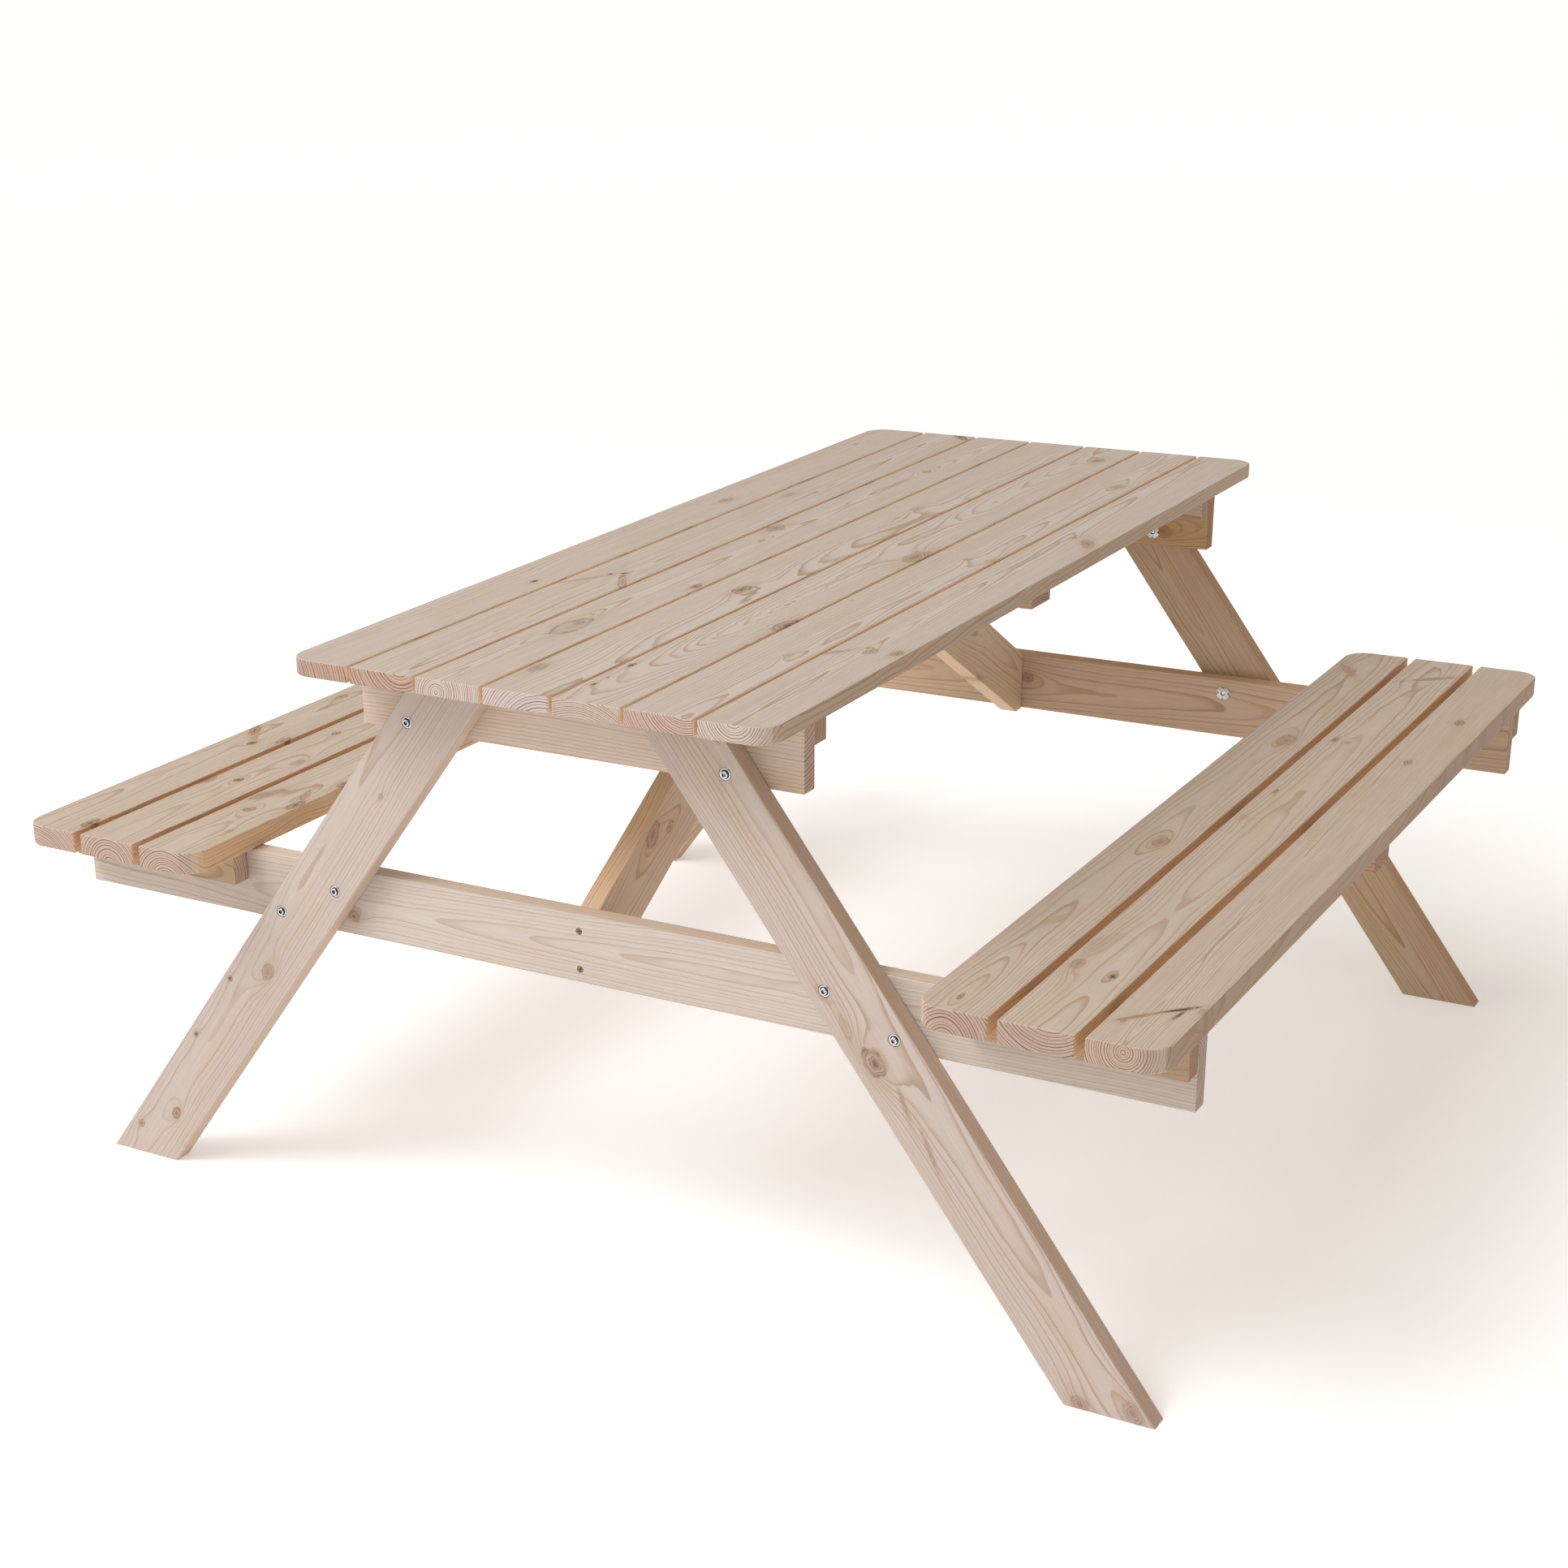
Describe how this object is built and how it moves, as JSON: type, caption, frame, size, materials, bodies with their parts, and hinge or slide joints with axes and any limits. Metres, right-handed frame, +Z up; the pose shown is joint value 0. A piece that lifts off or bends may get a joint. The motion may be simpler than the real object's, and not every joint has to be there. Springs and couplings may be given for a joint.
{
  "type": "picnic table",
  "caption": "Rectangular picnic table with two fixed benches on A-frame legs, made of planed softwood boards, with rounded corners and bolted legs.",
  "frame": {"origin": "on the ground, under the centre of the tabletop", "axes": "+Z up, Y along the planks with the near end at -Y, +X towards the right bench"},
  "size_m": [1.484, 1.5, 0.741],
  "materials": {
    "tabletop_pine": "planed, untreated",
    "seat_pine": "planed, untreated",
    "frame_pine": "planed, untreated",
    "zinc_bolt": "bright zinc plated",
    "zinc_nut": "bright zinc plated",
    "yellow_zinc_screw": "yellow zinc plated"
  },
  "bodies": {
    "root": {"top_plank_1": "tabletop_pine", "top_plank_2": "tabletop_pine", "top_plank_3": "tabletop_pine", "top_plank_4": "tabletop_pine", "top_plank_5": "tabletop_pine", "top_plank_6": "tabletop_pine", "top_plank_7": "tabletop_pine", "top_batten_near": "frame_pine", "top_batten_middle": "frame_pine", "top_batten_far": "frame_pine", "left_seat_plank_1": "seat_pine", "left_seat_plank_2": "seat_pine", "left_seat_plank_3": "seat_pine", "left_seat_cleat_near": "frame_pine", "left_seat_cleat_middle": "frame_pine", "left_seat_cleat_far": "frame_pine", "right_seat_plank_1": "seat_pine", "right_seat_plank_2": "seat_pine", "right_seat_plank_3": "seat_pine", "right_seat_cleat_near": "frame_pine", "right_seat_cleat_middle": "frame_pine", "right_seat_cleat_far": "frame_pine", "top_beam_near": "frame_pine", "seat_beam_near": "frame_pine", "leg_near_left": "frame_pine", "leg_near_right": "frame_pine", "brace_near": "frame_pine", "top_beam_far": "frame_pine", "seat_beam_far": "frame_pine", "leg_far_left": "frame_pine", "leg_far_right": "frame_pine", "brace_far": "frame_pine", "bolt_near_left_top": "zinc_bolt", "tee_nut_near_left_top": "zinc_nut", "bolt_near_left_inner": "zinc_bolt", "tee_nut_near_left_inner": "zinc_nut", "bolt_near_left_outer": "zinc_bolt", "tee_nut_near_left_outer": "zinc_nut", "bolt_near_right_top": "zinc_bolt", "tee_nut_near_right_top": "zinc_nut", "bolt_near_right_inner": "zinc_bolt", "tee_nut_near_right_inner": "zinc_nut", "bolt_near_right_outer": "zinc_bolt", "tee_nut_near_right_outer": "zinc_nut", "brace_screw_near_upper": "yellow_zinc_screw", "brace_screw_near_lower": "yellow_zinc_screw", "bolt_far_left_top": "zinc_bolt", "tee_nut_far_left_top": "zinc_nut", "bolt_far_left_inner": "zinc_bolt", "tee_nut_far_left_inner": "zinc_nut", "bolt_far_left_outer": "zinc_bolt", "tee_nut_far_left_outer": "zinc_nut", "bolt_far_right_top": "zinc_bolt", "tee_nut_far_right_top": "zinc_nut", "bolt_far_right_inner": "zinc_bolt", "tee_nut_far_right_inner": "zinc_nut", "bolt_far_right_outer": "zinc_bolt", "tee_nut_far_right_outer": "zinc_nut", "brace_screw_far_upper": "yellow_zinc_screw", "brace_screw_far_lower": "yellow_zinc_screw"}
  },
  "joints": []
}
